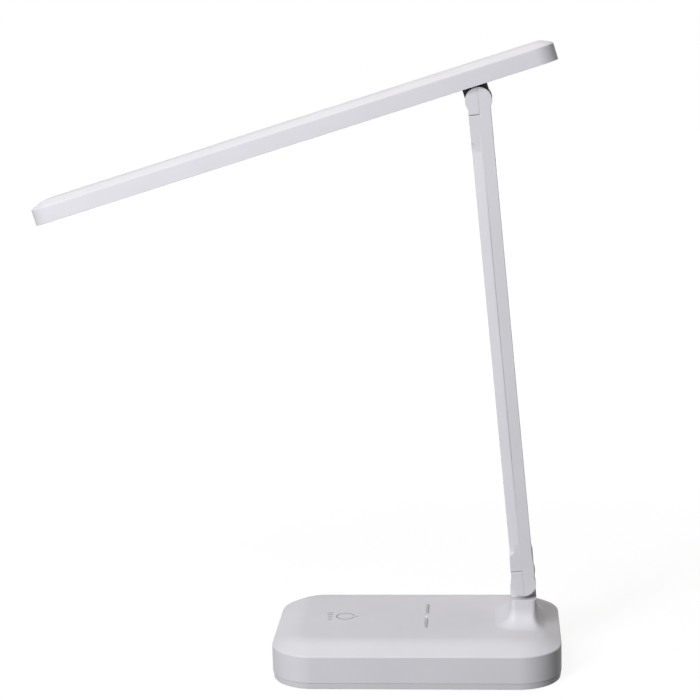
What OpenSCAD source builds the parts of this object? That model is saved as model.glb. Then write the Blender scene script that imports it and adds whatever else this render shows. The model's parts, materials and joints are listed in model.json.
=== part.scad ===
// Folding LED desk lamp: a weighted base with a neck, a flat arm and a bar-shaped head.
// Millimetres. The base stands on Z = 0 with its centre at the origin. +X runs towards the neck,
// +Y to the back and +Z up. The arm turns on the neck and the head turns on the arm, both about
// axes parallel to Y.

/* [Base] */
// Length of the base along X
base_l = 180; // [170:1:220]
// Depth of the base along Y
base_w = 115; // [112:1:140]
// Corner radius of the base, seen from above
base_r = 27; // [25:1:36]
// Height of the upper edge of the upright side wall
side_h = 21.3; // [20.8:0.1:24.5]
// Rise of the sloping rim above the side wall
rim_rise = 6.1; // [5:0.1:8]
// Inward run of the sloping rim
rim_in = 13.3; // [10:0.1:14]
// Wall of the base housing
base_wall = 2.2; // [1.6:0.1:2.4]
// Height of the upper edge of the bottom plate
plate_h = 3.8; // [3.4:0.1:4.6]
// Thickness of the anti-slip mat
mat_t = 1.5; // [1.2:0.1:1.8]
// Height that the mat stands proud of the bottom plate
mat_proud = 0.3; // [0.2:0.1:0.8]
// Margin between the mat and the edge of the base
mat_margin = 5; // [4:0.5:8]

/* [Neck] */
// Distance of the lower hinge axis from the right-hand end of the base
neck_end = 22.9; // [22:0.1:30]
// Thickness of the neck along X
neck_t = 16; // [15:0.5:20]
// Width of the neck and the arm along Y
neck_w = 34; // [32:1:44]
// Height of the top of the neck
neck_h = 44; // [42:0.5:60]
// Radius of the rounded upright edges of the neck
neck_edge = 3; // [2:0.5:5]
// Radius of the hollow curve that joins the neck to the base
flare_r = 11; // [8:0.5:12]

/* [Hinges] */
// Height of the lower hinge axis above the top of the neck
lower_rise = 10.2; // [9.8:0.1:14]
// Radius of the hinge pins
pin_r = 2.5; // [2:0.1:3]
// Radial play of the hinge pins in their bores
pin_play = 0.05; // [0.02:0.01:0.1]
// Width of the neck tongue and of the head bracket between the ears
tongue_w = 19; // [17:0.5:21]
// Radius of the neck tongue's round top
tongue_r = 7.3; // [6:0.1:7.5]
// Thickness of the friction washers
washer_t = 0.95; // [0.6:0.05:1.4]
// Radius of the friction washers
washer_r = 5; // [4:0.25:6]
// Play between a washer and the tongue that turns against it
washer_play = 0.05; // [0.03:0.01:0.1]
// Distance from each hinge axis to the end of the arm's full-width body
fork_gap = 8.3; // [8.3:0.1:9]

/* [Arm] */
// Distance between the two hinge axes
arm_l = 301; // [260:1:340]
// Thickness of the arm
arm_t = 13.5; // [13:0.5:15]
// Lean of the arm from the vertical towards -X, in degrees
arm_lean = 4.7; // [0:0.05:20]
// Radius of the lower ears
lower_ear_r = 7.7; // [6.8:0.1:7.8]
// Radius of the upper ears
upper_ear_r = 8.1; // [7:0.1:8.2]
// Extra thickness of the collar above the lower ears, on each face
collar_out = 0.6; // [0.2:0.1:0.7]
// Height of the collar above the lower hinge axis
collar_h = 12.5; // [11:0.5:20]
// Width of the sloping edge strip, measured across the arm's narrow face
edge_x = 5.3; // [4:0.1:5.8]
// Depth of the sloping edge strip, measured on the arm's wide side
edge_y = 2; // [1.5:0.1:3]
// Wall of the arm shells
arm_wall = 1.8; // [1.4:0.1:2.2]
// Width of the seam between the arm cover and the ear caps
seam = 0.25; // [0.1:0.05:0.4]

/* [Head] */
// Distance from the upper hinge to the far end of the head
head_far = 281.6; // [240:1:290]
// Distance from the upper hinge to the near end of the head
head_near = 52.1; // [45:0.1:80]
// Width of the head along Y
head_w = 40; // [38:1:50]
// Corner radius of the head, seen from above
head_r = 12; // [9:0.5:14]
// Distance from the upper hinge axis to the underside of the head
head_drop = 8.9; // [8.6:0.1:11]
// Height of the head's upright side
head_side = 10.1; // [9:0.1:12]
// Rise of the head's sloping top edge
head_rise = 3.2; // [2:0.1:4]
// Inward run of the head's sloping top edge
head_in = 7; // [5:0.1:8]
// Wall of the head cover
head_wall = 1.6; // [1.2:0.1:2]
// Tilt of the head, far end down, in degrees
head_tilt = 16.5; // [0:0.1:30]
// Length of the head bracket along the head
bracket_l = 15.1; // [14:0.1:16]
// Width of the diffuser's window
window_w = 27; // [22:1:28]
// Length of solid frame between the diffuser and each landmark: the far end and the hinge
window_margin = 10; // [8:1:16]
// Number of LEDs in the strip
led_count = 36; // [12:1:48]

/* [Controls] */
// Distance of the touch key from the left-hand end of the base
key_end = 43.7; // [40:0.1:46]
// Radius of the touch electrode
key_r = 7; // [5:0.5:8]
// Place of the rest ribs and the indicator along X
rib_x = 5.5; // [4:0.1:8]
// Length of each rest rib
rib_l = 17; // [12:0.5:20]
// Width of each rest rib
rib_w = 2; // [1.5:0.1:3]
// Height of the rest ribs above the base
rib_up = 0.7; // [0.4:0.1:1.2]
// Gap between the middle of the base and the near end of each rib
rib_gap = 5.5; // [4:0.5:8]
// Radius of the indicator lens
lens_r = 1; // [0.8:0.1:1.5]

/* [Inside] */
// Length of the counterweight
weight_l = 110; // [80:1:120]
// Width of the counterweight
weight_w = 60; // [40:1:62]
// Thickness of the counterweight
weight_t = 6; // [3:0.5:8]
// Radius of the battery cell
cell_r = 9.25; // [9:0.05:9.25]
// Length of the battery cell
cell_l = 65; // [50:1:70]
// Thickness of the circuit boards
board_t = 1.6; // [1:0.1:1.6]
// Radius of the two-core lead
lead_r = 0.9; // [0.7:0.05:1]
// Thickness of the arm's steel stiffener
stiff_t = 1.5; // [1:0.1:2]
// Clearance between parts that are fitted into each other
fit = 0.15; // [0.1:0.05:0.25]

/* [Hidden] */
$fn = 64;
shell_white = "#eeeef0";
inner_white = "#f6f6f4";
steel = "#9a9ca0";
board_green = "#2f6b45";
over = 1;                                   // overrun of cuts past a face
top_h = side_h + rim_rise;                  // top of the base
plate_z = mat_proud;                        // underside of the bottom plate
plate_gap = 0.4;                            // shadow gap between bottom plate and side wall
plate_inset = 0.2;                          // bottom plate's set-back from the side wall
roof_z = top_h - base_wall;                 // underside of the base's top
cavity_l = base_l - 2 * base_wall;
cavity_w = base_w - 2 * base_wall;
cavity_r = base_r - base_wall;
boss_r = 3.5;
boss_from_end = 14;
boss_from_side = 13.5;
boss_x = base_l / 2 - boss_from_end;
boss_y = base_w / 2 - boss_from_side;
pilot_l = 10;                               // depth of the bores the case screws cut into
case_screw = [2.4, 1.6, 1.15];              // screws: head radius, head thickness, shank radius
case_screw_l = 9;
board_screw = [1.9, 1.2, 0.9];
plate_screw = [1.7, 1, 0.85];
flange_screw = [2.1, 1.5, 1.15];
screw_bite = 3;                             // how far the small screws reach into a boss
thread = 0.05;                              // play of a screw in the bore it cuts into
upstand_t = 1.5;
upstand_h = 3;
hinge_z = neck_h + lower_rise;
neck_x = base_l / 2 - neck_end;
neck_shaft = 2.5;                           // wall round the shaft in the neck
neck_cap = 3;                               // thickness of the neck's top
neck_foot = top_h + flare_r;                // top of the neck's flared foot
joint_up = 2;
neck_joint = top_h + joint_up;              // plane where the neck meets the housing
key_x = key_end - base_l / 2;
ear_in = tongue_w / 2 + washer_t + washer_play;      // inner face of each ear, from the middle
pin_sink = 4;                               // depth of the blind pin bore in an ear
slot_w = 4;                                 // slot for the lead through tongue and bracket
slot_low = 1.3;                             // how far the slot reaches past the axis
lead_hole = lead_r + 0.6;
pin_in = slot_w / 2 + 0.3;                  // inner end of each pin, from the middle
pin_out = ear_in + pin_sink;
arm_half = arm_t / 2;
arm_cav_x = arm_half - arm_wall;
strip_wall = 1.5;                           // wall behind the sloping edge strip
arm_cav_y = neck_w / 2 - edge_y - strip_wall;
arm_end = fork_gap + 4;                     // end walls of the arm's hollow
collar_low = fork_gap - 5;                  // where the collar's short lower taper starts
collar_full = fork_gap + 1;                 // and where it ends
collar_run = 3.5;                           // length of the collar's upper taper
relief_start = collar_h + 13.5;              // where the sloping strip starts to run out
relief_end = 31;                            // the same, below the upper hinge
relief_run = 15;                            // radius of the strip's run-out
board_w = 36;
board_left = key_x - 16;
board_right = rib_x + 7;
board_top = roof_z - 3.2;
board_under = board_top - board_t;
board_screw_in = 4;
board_boss_r = 2.5;
// Parts below the control board: X and Y from its left edge and middle, then length, width, height
under_parts = [[30, -5, 10, 10, 1.2], [46, -12, 7, 7, 3], [48, 6, 5, 4, 1.5], [18, 8, 4, 4, 1],
    [12, -12, 8, 6, 4]];
diode = [2, 1.6, 0.8];                      // indicator diode on top of the board
foil_t = 0.2;                               // touch electrode
wire_r = 0.25;                              // touch spring
spring_foot = 3.4;
spring_head = 2.2;
spring_turns = 3;
lens_flange = 1;
cell_x = 22 - base_l / 2;
cell_y = base_w / 2 - 25.5;
cell_z = plate_h + cell_r + 0.3;
cell_cap_r = 3;
cell_cap_l = 1.2;
saddle_t = 3;
saddle_in = 6;
pad = [20, 10];                             // foam pad above the cell
weight_y = -18;
weight_r = 5;
usb_x = 20;
usb_w = 8.94;
usb_h = 3.2;
usb_d = 7.3;
usb_wall = 0.3;
usb_gap = 0.3;                              // gap between the socket and the housing
usb_blade = [6.7, 5.8, 0.7];                // contact tongue inside the socket
charge_w = 18;
charge_d = 12;
charge_z = plate_h + 4.8;
post_r = 2.2;
usb_face = base_w / 2 - 0.6;
charge_y = cavity_w / 2 - 0.5;              // rear edge of the charge board
tip = 0.06;                                 // gap left between a lead's end and its board
head_top = head_drop + head_side + head_rise;
head_l = head_far + head_near;
head_mid = (head_near - head_far) / 2;
head_roof = head_top - head_wall;
frame_z = head_drop + 0.3;                  // underside of the head frame and diffuser
frame_t = 1.8;
flange_z = frame_z + frame_t + 2.2;         // underside of the bracket's flange
flange_t = 2;
flange_l = 26;
flange_w = 30;
window_l = head_far - 2 * window_margin - bracket_l / 2 - 6;
window_mid = -(head_far - window_margin - window_l / 2);
lip = 2;                                    // the diffuser's rim that lies on the frame
led_l = window_l - 6;
led_w = 12;
led_t = 1;
frame_corner = 4;
diffuser_rim = 1;
hooks = 6;
hook = [8, 1.2, 4];                         // snap hooks of the head frame
hook_in = 35;                               // distance of the end hooks from the head's ends
led_chip = [2.8, 3.5, 0.7];
flange_boss_r = 2.6;
flange_screw_in = 3;
lips_in = 10;                               // lips of the arm cover: distance from the hollow's ends
lip_l = 60;
lip_t = 1;
lip_reach = 1.6;
stiff_w = 18;
stiff_in = 8;                               // distance of the stiffener from the hollow's ends
stiff_screw_in = 40;

// ---- plain shapes ----

// Flat outline of a rectangle with round corners, centred on the origin
module round_rect(l, w, r) {
    square([l - 2 * r, w], center = true);
    square([l, w - 2 * r], center = true);
    for (sx = [-1, 1], sy = [-1, 1])
        translate([sx * (l / 2 - r), sy * (w / 2 - r)]) circle(r);
}

// Upright block with round corners, standing on Z = 0
module round_block(l, w, r, h) {
    linear_extrude(h) round_rect(l, w, r);
}

// Block whose four sides lean inwards by run over its height; its corners are cones
module rim_block(l, w, r, h, run) {
    rotate([90, 0, 90]) linear_extrude(l - 2 * r, center = true)
        polygon([[-w / 2, 0], [w / 2, 0], [w / 2 - run, h], [run - w / 2, h]]);
    rotate([90, 0, 0]) linear_extrude(w - 2 * r, center = true)
        polygon([[-l / 2, 0], [l / 2, 0], [l / 2 - run, h], [run - l / 2, h]]);
    for (sx = [-1, 1], sy = [-1, 1])
        translate([sx * (l / 2 - r), sy * (w / 2 - r), 0]) cylinder(r1 = r, r2 = r - run, h = h);
}

// Cylinder along Y between y0 and y1
module bar_y(r, y0, y1) {
    translate([0, y1, 0]) rotate([90, 0, 0]) cylinder(r = r, h = y1 - y0);
}

// Screw pointing up: its head's underside is at Z = 0 and the shank rises above it
module screw(shank, size) {
    translate([0, 0, -size[1]]) cylinder(r = size[0], h = size[1]);
    cylinder(r = size[2], h = shank);
}

// Round tube swept along a list of points; side_dir must not run along the route
module tube(route, r, side_dir = [0, 1, 0]) {
    sides = 8;
    last = len(route) - 1;
    function unit(v) = v / norm(v);
    function along(i) = unit(route[min(i + 1, last)] - route[max(i - 1, 0)]);
    function across(i) = unit(cross(along(i), side_dir));
    function beside(i) = cross(across(i), along(i));
    points = [for (i = [0 : last], k = [0 : sides - 1])
        route[i] + r * (cos(360 * k / sides) * across(i) + sin(360 * k / sides) * beside(i))];
    start_cap = [for (k = [0 : sides - 1]) k];
    end_cap = [for (k = [sides - 1 : -1 : 0]) last * sides + k];
    walls = [for (i = [0 : last - 1], k = [0 : sides - 1])
        [i * sides + k, (i + 1) * sides + k, (i + 1) * sides + (k + 1) % sides,
            i * sides + (k + 1) % sides]];
    polyhedron(points, concat([start_cap], [end_cap], walls));
}

// Moves a shape from the arm's own axes (lower hinge at the origin, Z along the arm)
module on_arm() {
    translate([neck_x, 0, hinge_z]) rotate([0, -arm_lean, 0]) children();
}

// Moves a shape from the head's own axes (upper hinge at the origin, X along the head)
module on_head() {
    translate([neck_x - arm_l * sin(arm_lean), 0, hinge_z + arm_l * cos(arm_lean)])
        rotate([0, -head_tilt, 0]) children();
}

// ---- base ----

module base_outer() {
    translate([0, 0, plate_h + plate_gap])
        round_block(base_l, base_w, base_r, side_h - plate_h - plate_gap);
    translate([0, 0, side_h]) rim_block(base_l, base_w, base_r, rim_rise, rim_in);
}

module base_cavity() {
    translate([0, 0, -over])
        round_block(cavity_l, cavity_w, cavity_r, side_h - base_wall + over);
    translate([0, 0, side_h - base_wall])
        rim_block(cavity_l, cavity_w, cavity_r, rim_rise, rim_in);
}

// Profile of the hollow curve on the flat top: the wall is the line x = start
module flare_profile(start, deep) {
    difference() {
        translate([0, -deep]) square([start + flare_r, deep + flare_r]);
        translate([start + flare_r, flare_r]) circle(flare_r);
    }
}

// Everything below the curve that joins the neck's right face to the sloping rim
module right_limit(deep) {
    face = neck_x + neck_t / 2;
    slope = atan(rim_rise / rim_in);
    rim_x = base_l / 2 - rim_in;
    centre = [face + flare_r,
        top_h + (flare_r - (face + flare_r - rim_x) * sin(slope)) / cos(slope)];
    touch = centre - flare_r * [sin(slope), cos(slope)];
    difference() {
        polygon([[face - neck_t, neck_foot + over], [face, neck_foot + over], [face, centre[1]], centre,
            touch, [touch[0], top_h - deep], [face - neck_t, top_h - deep]]);
        translate(centre) circle(flare_r);
    }
}

module neck_flare() {
    inner_x = neck_t / 2 - neck_edge;
    inner_y = neck_w / 2 - neck_edge;
    deep = 6;
    // front, back and left runs, and the two left corners
    for (s = [0, 1]) mirror([0, s, 0]) {
        translate([neck_x - inner_x, inner_y, top_h]) rotate([90, 0, 90])
            linear_extrude(2 * inner_x) flare_profile(neck_edge, base_wall / 2);
        translate([neck_x - inner_x, inner_y, top_h]) rotate([0, 0, 90])
            rotate_extrude(angle = 90) flare_profile(neck_edge, base_wall / 2);
        // right corners, cut down to the sloping rim
        intersection() {
            translate([neck_x + inner_x, inner_y, top_h])
                rotate_extrude(angle = 90) flare_profile(neck_edge, deep);
            rotate([90, 0, 0]) linear_extrude(neck_w + 4 * flare_r, center = true)
                right_limit(deep + over);
        }
    }
    translate([neck_x - inner_x, 0, top_h]) rotate([90, 0, 180])
        linear_extrude(2 * inner_y, center = true) flare_profile(neck_edge, base_wall / 2);
    // right run
    intersection() {
        rotate([90, 0, 0]) linear_extrude(2 * inner_y, center = true) right_limit(deep);
        translate([neck_x, -neck_w / 2, top_h - deep])
            cube([neck_t / 2 + flare_r + 1, neck_w, neck_foot - top_h + deep]);
    }
}

// The neck with its flared foot, between two heights
module neck_column(low, high) {
    reach = neck_w / 2 + flare_r + neck_edge;
    intersection() {
        union() {
            translate([neck_x, 0, top_h - base_wall / 2])
                round_block(neck_t, neck_w, neck_edge, neck_h - top_h + base_wall / 2);
            neck_flare();
        }
        translate([neck_x - reach, -reach, low]) cube([2 * reach, 2 * reach, high - low]);
    }
}

module neck_shaft_way() {
    floor_z = side_h - base_wall;
    translate([neck_x, 0, floor_z]) round_block(neck_t - 2 * neck_shaft, neck_w - 2 * neck_shaft, 1,
        neck_h - neck_cap - floor_z);
}

module rib_row(up, down, grow) {
    for (s = [-1, 1]) translate([rib_x, s * (rib_gap + rib_l / 2), top_h - down])
        round_block(rib_w + 2 * grow, rib_l + 2 * grow, rib_w / 2 + grow - 0.01, up + down);
}

module housing_bosses() {
    intersection() {
        base_outer();
        for (sx = [-1, 1], sy = [-1, 1])
            translate([sx * boss_x, sy * boss_y, plate_h + plate_gap])
                cylinder(r = boss_r, h = top_h - plate_h - 2);
    }
    for (p = board_screw_places()) translate([p[0], p[1], board_top])
        cylinder(r = board_boss_r, h = roof_z - board_top + over);
}

function board_screw_places() = [for (x = [board_left + board_screw_in,
    board_right - board_screw_in], y = [-1, 1]) [x, y * (board_w / 2 - board_screw_in)]];

module base_housing() {
    color(shell_white) difference() {
        union() {
            difference() {
                union() {
                    base_outer();
                    neck_column(0, neck_joint);
                }
                base_cavity();
            }
            housing_bosses();
        }
        neck_shaft_way();
        for (sx = [-1, 1], sy = [-1, 1])
            translate([sx * boss_x, sy * boss_y, 0])
                cylinder(r = case_screw[2] + thread, h = plate_h + pilot_l);
        for (p = board_screw_places()) translate([p[0], p[1], board_top - over])
            cylinder(r = board_screw[2] + thread, h = screw_bite + 2 * over);
        translate([rib_x, 0, roof_z - over]) cylinder(r = lens_r + thread, h = base_wall + 2 * over);
        rib_row(over, base_wall / 2, thread);
        translate([usb_x - usb_w / 2 - usb_gap, cavity_w / 2 - over, charge_z + board_t - usb_gap])
            cube([usb_w + 2 * usb_gap, base_wall + 2 * over, usb_h + 2 * usb_gap]);
    }
}

module hinge_neck() {
    color(shell_white) difference() {
        union() {
            neck_column(neck_joint, neck_h + over);
            // tongue that carries the lower hinge
            translate([neck_x, 0, hinge_z]) {
                rotate([90, 0, 0]) linear_extrude(tongue_w, center = true)
                    polygon([[-neck_t / 2, -lower_rise - over], [neck_t / 2, -lower_rise - over],
                        [tongue_r, 0], [-tongue_r, 0]]);
                bar_y(tongue_r, -tongue_w / 2, tongue_w / 2);
            }
        }
        neck_shaft_way();
        // way for the lead, and the slot it swings in
        translate([neck_x, 0, neck_h - neck_cap - over])
            cylinder(r = lead_hole, h = lower_rise + neck_cap + over);
        translate([neck_x - neck_t / 2, -slot_w / 2, hinge_z - slot_low])
            cube([neck_t, slot_w, tongue_r + slot_low + over]);
        // hinge bore
        translate([neck_x, 0, hinge_z])
            bar_y(pin_r + pin_play, -tongue_w / 2 - over, tongue_w / 2 + over);
    }
}

function charge_screw_places() = [for (s = [-1, 1])
    [usb_x + s * (charge_w / 2 - 2.5), charge_y - charge_d + 3]];

module bottom_plate() {
    l = base_l - 2 * plate_inset;
    w = base_w - 2 * plate_inset;
    up_l = cavity_l - 2 * fit;
    up_w = cavity_w - 2 * fit;
    up_r = cavity_r - fit;
    color(shell_white) difference() {
        union() {
            translate([0, 0, plate_z])
                round_block(l, w, base_r - plate_inset, plate_h - plate_z);
            // upstand that locates the plate inside the side wall
            difference() {
                translate([0, 0, plate_h - over]) round_block(up_l, up_w, up_r, upstand_h + over);
                translate([0, 0, plate_h]) round_block(up_l - 2 * upstand_t, up_w - 2 * upstand_t,
                    up_r - upstand_t, upstand_h + over);
            }
            // saddles under the battery cell
            for (x = [cell_x + saddle_in, cell_x + cell_l - saddle_in - saddle_t])
                translate([x, cell_y - cell_r, plate_h - over])
                    cube([saddle_t, 2 * cell_r, cell_r * 0.6 + over]);
            // posts under the charge board
            for (p = charge_screw_places()) translate([p[0], p[1], plate_h - over])
                cylinder(r = post_r, h = charge_z - plate_h + over);
        }
        translate([0, 0, plate_z - over])
            round_block(base_l - 2 * mat_margin + 2 * fit, base_w - 2 * mat_margin + 2 * fit,
                base_r - mat_margin + fit, mat_t - plate_z + over);
        for (sx = [-1, 1], sy = [-1, 1]) translate([sx * boss_x, sy * boss_y, 0]) {
            cylinder(r = case_screw[2] + fit, h = plate_h + over);
            cylinder(r = case_screw[0] + fit, h = mat_t + case_screw[1]);
            // room for the housing's boss inside the upstand
            translate([0, 0, plate_h]) cylinder(r = boss_r + fit, h = upstand_h + over);
        }
        translate([cell_x - over, cell_y, cell_z]) rotate([0, 90, 0])
            cylinder(r = cell_r + 0.1, h = cell_l + 2 * over);
        for (p = charge_screw_places()) translate([p[0], p[1], plate_h])
            cylinder(r = board_screw[2] + thread, h = charge_z);
        for (s = [-1, 1]) translate([s * weight_l / 4, weight_y, mat_t + 0.6])
            cylinder(r = case_screw[2] + thread, h = plate_h);
    }
}

module anti_slip_mat() {
    color("#5b5d60")
        round_block(base_l - 2 * mat_margin, base_w - 2 * mat_margin, base_r - mat_margin, mat_t);
}

module bottom_screws() {
    color(steel) for (sx = [-1, 1], sy = [-1, 1])
        translate([sx * boss_x, sy * boss_y, mat_t + case_screw[1]]) screw(case_screw_l, case_screw);
}

module counterweight() {
    color("#6d7075") difference() {
        translate([0, weight_y, plate_h]) round_block(weight_l, weight_w, weight_r, weight_t);
        for (s = [-1, 1]) translate([s * weight_l / 4, weight_y, plate_h - over])
            cylinder(r = case_screw[2] + fit, h = weight_t + 2 * over);
    }
}

module counterweight_screws() {
    color(steel) for (s = [-1, 1]) translate([s * weight_l / 4, weight_y, plate_h + weight_t])
        mirror([0, 0, 1]) screw(weight_t + 1.6, case_screw);
}

module battery_cell() {
    can_l = cell_l - cell_cap_l;
    color("#2d6fae") union() {
        translate([cell_x, cell_y, cell_z]) rotate([0, 90, 0]) cylinder(r = cell_r, h = can_l);
        translate([cell_x + can_l, cell_y, cell_z]) rotate([0, 90, 0])
            cylinder(r = cell_cap_r, h = cell_cap_l);
    }
}

module battery_pad() {
    color("#3c3c3e") difference() {
        translate([cell_x + (cell_l - pad[0]) / 2, cell_y - pad[1] / 2, cell_z])
            cube([pad[0], pad[1], roof_z - cell_z]);
        translate([cell_x, cell_y, cell_z]) rotate([0, 90, 0])
            cylinder(r = cell_r + thread, h = cell_l);
    }
}

module control_board() {
    color(board_green) difference() {
        translate([board_left, -board_w / 2, board_under])
            cube([board_right - board_left, board_w, board_t]);
        for (p = board_screw_places()) translate([p[0], p[1], board_under - over])
            cylinder(r = board_screw[2] + fit, h = board_t + 2 * over);
    }
}

module board_parts() {
    color("#26282b") {
        for (p = under_parts)
            translate([board_left + p[0], p[1], board_under - p[4]]) cube([p[2], p[3], p[4]]);
        translate([rib_x - diode[0] / 2, -diode[1] / 2, board_top]) cube(diode);
    }
}

module board_screws() {
    color(steel) for (p = board_screw_places())
        translate([p[0], p[1], board_under]) screw(board_t + screw_bite, board_screw);
}

module touch_electrode() {
    color("#b97d4b") translate([key_x, 0, roof_z - foil_t]) cylinder(r = key_r, h = foil_t);
}

module touch_spring() {
    steps = 20;
    all = spring_turns * steps;
    height = roof_z - foil_t - board_top - 2 * wire_r;
    color(steel) translate([key_x, 0, board_top + wire_r]) tube([for (i = [0 : all])
        let (a = 360 * i / steps, r = spring_foot - (spring_foot - spring_head) * i / all)
        [r * cos(a), r * sin(a), height * i / all]], wire_r, [0, 0, 1]);
}

module indicator_lens() {
    color("#f4f6fa") {
        translate([rib_x, 0, board_top + diode[2] + thread])
            cylinder(r = lens_r, h = top_h + 0.1 - board_top - diode[2] - thread);
        translate([rib_x, 0, roof_z - lens_flange]) cylinder(r = lens_r + lens_flange, h = lens_flange);
    }
}

module rest_ribs() {
    color("#c9cacd") rib_row(rib_up, base_wall / 2, 0);
}

module charge_board() {
    color(board_green) difference() {
        translate([usb_x - charge_w / 2, charge_y - charge_d, charge_z])
            cube([charge_w, charge_d, board_t]);
        for (p = charge_screw_places()) translate([p[0], p[1], charge_z - over])
            cylinder(r = board_screw[2] + fit, h = board_t + 2 * over);
    }
}

module charge_board_screws() {
    color(steel) for (p = charge_screw_places()) translate([p[0], p[1], charge_z + board_t])
        mirror([0, 0, 1]) screw(board_t + screw_bite, board_screw);
}

module usb_socket() {
    z = charge_z + board_t;
    color(steel) {
        difference() {
            translate([usb_x, usb_face, z + usb_h / 2]) rotate([90, 0, 0])
                linear_extrude(usb_d) round_rect(usb_w, usb_h, usb_h / 2 - 0.05);
            translate([usb_x, usb_face + over, z + usb_h / 2]) rotate([90, 0, 0])
                linear_extrude(usb_d - 1 + over)
                    round_rect(usb_w - 2 * usb_wall, usb_h - 2 * usb_wall,
                        usb_h / 2 - usb_wall - 0.05);
        }
        translate([usb_x - usb_blade[0] / 2, usb_face - usb_d, z + (usb_h - usb_blade[2]) / 2])
            cube(usb_blade);
    }
}

// Two-core leads inside the base: from the cell, from the charge board and to the neck
battery_end = cell_x + cell_l;
battery_route = [[battery_end + 0.3, cell_y, cell_z], [battery_end + 2.4, cell_y - 0.6, cell_z + 0.6],
    [battery_end + 3.4, cell_y - 4, cell_z + 1.6], [battery_end + 1.6, cell_y - 8, cell_z + 2.2],
    [battery_end - 3, cell_y - 12, cell_z + 2.2], [battery_end - 6, cell_y - 15, cell_z + 2.4],
    [battery_end - 8, board_w / 2 - 2.2, board_under - 3], [battery_end - 8.4, board_w / 2 - 2.6,
    board_under - 1.5], [battery_end - 8.4, board_w / 2 - 2.6, board_under - tip]];
charge_top = charge_z + board_t;
charge_front = charge_y - charge_d;
charge_route = [[usb_x - 0.4, charge_front + 1.6, charge_top + tip],
    [usb_x - 0.4, charge_front + 1.6, charge_top + 1.6], [usb_x - 1.6, charge_front - 0.6, charge_top + 3.2],
    [usb_x - 5, charge_front - 6, charge_top + 4], [usb_x - 9, charge_front - 12, charge_top + 4],
    [usb_x - 12, board_w / 2 + 2, board_under - 5], [rib_x + 0.5, board_w / 2 - 1, board_under - 3.4],
    [rib_x - 1, board_w / 2 - 2.2, board_under - 1.6], [rib_x - 1, board_w / 2 - 2.2, board_under - tip]];
base_route = [[rib_x + 3, -6, board_under - tip], [rib_x + 3, -6, board_under - 1.6],
    [rib_x + 5, -5.8, board_under - 3.4], [rib_x + 9, -5.2, board_under - 3.8],
    [rib_x + 14, -4.6, board_under - 3], [neck_x - 32, -2, roof_z - 3], [neck_x - 20, -1, roof_z - 2],
    [neck_x - 8, -0.4, roof_z - 2], [neck_x - 3.6, -0.1, roof_z - 1], [neck_x - 1.2, 0, roof_z + 2],
    [neck_x - 0.2, 0, roof_z + 8], [neck_x, 0, neck_h - neck_cap], [neck_x, 0, hinge_z]];

module battery_lead() {
    color("#b3262b") tube(battery_route, lead_r, [1, 0, 0.8]);
}

module charge_lead() {
    color("#2b2c2f") tube(charge_route, lead_r, [1, 0, 0]);
}

module base_lead() {
    color("#2b2c2f") tube(base_route, lead_r);
}

// ---- hinges ----

module hinge_pins() {
    for (s = [0, 1]) mirror([0, s, 0]) bar_y(pin_r, pin_in, pin_out);
}

module hinge_washers() {
    for (s = [0, 1]) mirror([0, s, 0]) difference() {
        bar_y(washer_r, ear_in - washer_t, ear_in);
        bar_y(pin_r + pin_play, 0, ear_in + over);
    }
}

module lower_hinge_pins() {
    color(steel) on_arm() hinge_pins();
}

module lower_washers() {
    color("#c9b27a") on_arm() hinge_washers();
}

module upper_hinge_pins() {
    color(steel) on_arm() translate([0, 0, arm_l]) hinge_pins();
}

module upper_washers() {
    color("#c9b27a") on_arm() translate([0, 0, arm_l]) hinge_washers();
}

// ---- arm ----

// Cut that takes the front left edge off the arm and runs out round at both ends
module edge_relief() {
    turn = atan2(edge_y, edge_x);
    high = arm_l - relief_end;
    translate([-arm_half, -neck_w / 2 + edge_y, 0]) rotate([0, 0, 180 - turn]) rotate([90, 0, 90])
        linear_extrude(4 * neck_w, center = true) {
            translate([0, relief_start]) square([neck_w, high - relief_start]);
            for (z = [relief_start, high]) translate([relief_run, z]) circle(relief_run);
        }
}

module arm_outer() {
    difference() {
        union() {
            rotate([90, 0, 0]) linear_extrude(neck_w, center = true) {
                out = arm_half + collar_out;
                translate([-arm_half, 0]) square([arm_t, arm_l]);
                circle(lower_ear_r);
                translate([0, arm_l]) circle(upper_ear_r);
                polygon([[-arm_half, collar_low], [arm_half, collar_low], [out, collar_full],
                    [out, collar_h], [arm_half, collar_h + collar_run],
                    [-arm_half, collar_h + collar_run], [-out, collar_h], [-out, collar_full]]);
            }
        }
        for (s = [0, 1]) mirror([0, s, 0]) edge_relief();
        // forks that take the neck tongue and the head bracket
        for (z = [-neck_w, arm_l - fork_gap])
            translate([-arm_t, -ear_in, z]) cube([2 * arm_t, 2 * ear_in, neck_w + fork_gap]);
        // hollow, ways for the lead, and blind bores for the pins
        translate([-arm_cav_x, -arm_cav_y, arm_end])
            cube([2 * arm_cav_x, 2 * arm_cav_y, arm_l - 2 * arm_end]);
        translate([0, 0, fork_gap - over]) cylinder(r = lead_hole, h = arm_l - 2 * fork_gap + 2 * over);
        for (z = [0, arm_l]) translate([0, 0, z]) bar_y(pin_r + 0.02, -pin_out - 0.1, pin_out + 0.1);
    }
}

// Keeps the part of the arm between two heights on one side of its middle plane
module arm_part(side, low, high) {
    intersection() {
        arm_outer();
        translate([side > 0 ? 0 : -arm_t, -neck_w, low]) cube([arm_t, 2 * neck_w, high - low]);
    }
}

function stiffener_screw_places() = [for (i = [0 : 3])
    stiff_screw_in + i * (arm_l - 2 * stiff_screw_in) / 3];

module arm_back_shell() {
    color(shell_white) on_arm() difference() {
        arm_part(1, -neck_w, arm_l + neck_w);
        for (z = stiffener_screw_places()) translate([arm_cav_x - over, 0, z]) rotate([0, 90, 0])
            cylinder(r = plate_screw[2] + thread, h = 1.1 + over);
    }
}

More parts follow.
